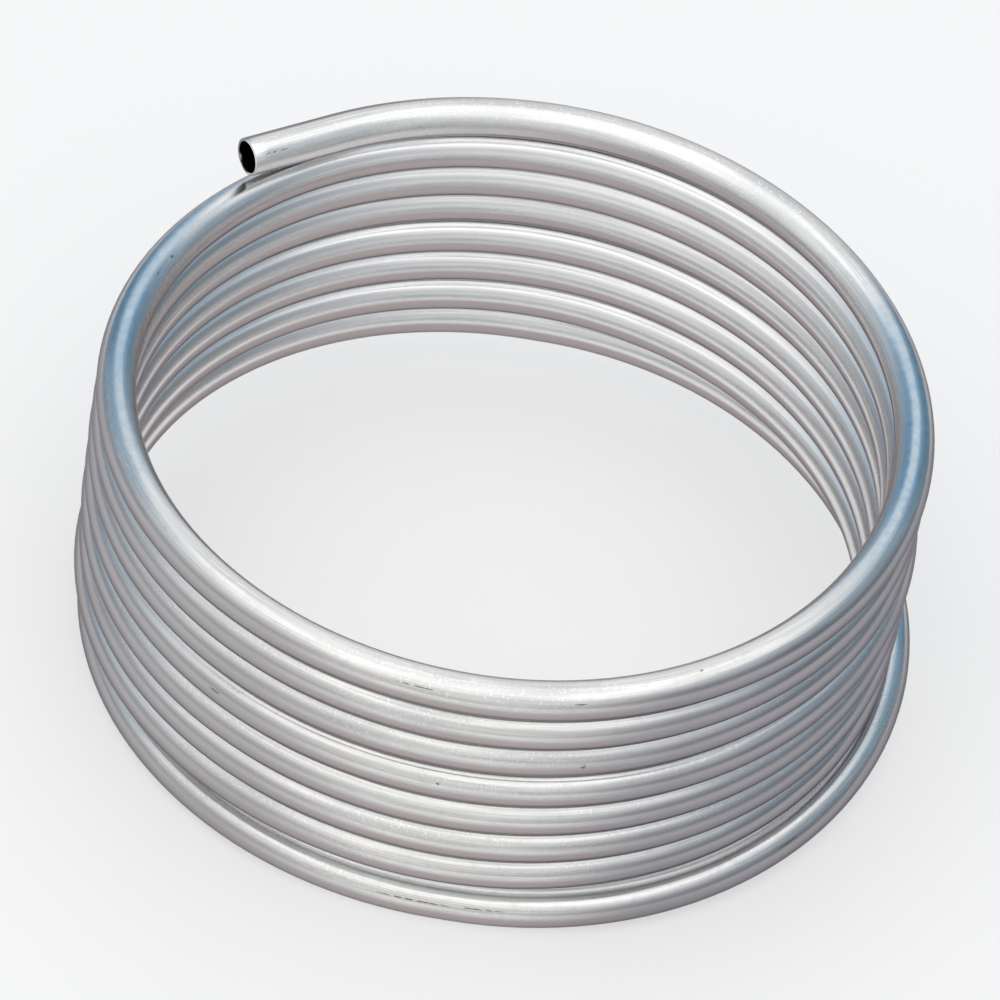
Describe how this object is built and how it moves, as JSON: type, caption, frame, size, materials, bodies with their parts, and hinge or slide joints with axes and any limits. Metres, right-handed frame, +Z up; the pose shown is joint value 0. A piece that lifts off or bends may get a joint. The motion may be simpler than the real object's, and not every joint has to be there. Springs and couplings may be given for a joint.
{
  "type": "aluminum tube coil",
  "caption": "Length of bare round aluminum tube wound into an open, single-layer coil that stands on its end, with both ends cut square and left straight.",
  "frame": {"origin": "on the floor, on the axis that the turns are wound around", "axes": "+Z up along the axis of the coil; +X to the right and +Y to the rear, where the tube's upper end leaves the coil on the left of the rear"},
  "size_m": [0.2146, 0.2107, 0.091],
  "materials": {
    "bare_aluminium": "satin"
  },
  "bodies": {
    "root": {"coiled_tube": "bare_aluminium"}
  },
  "joints": []
}
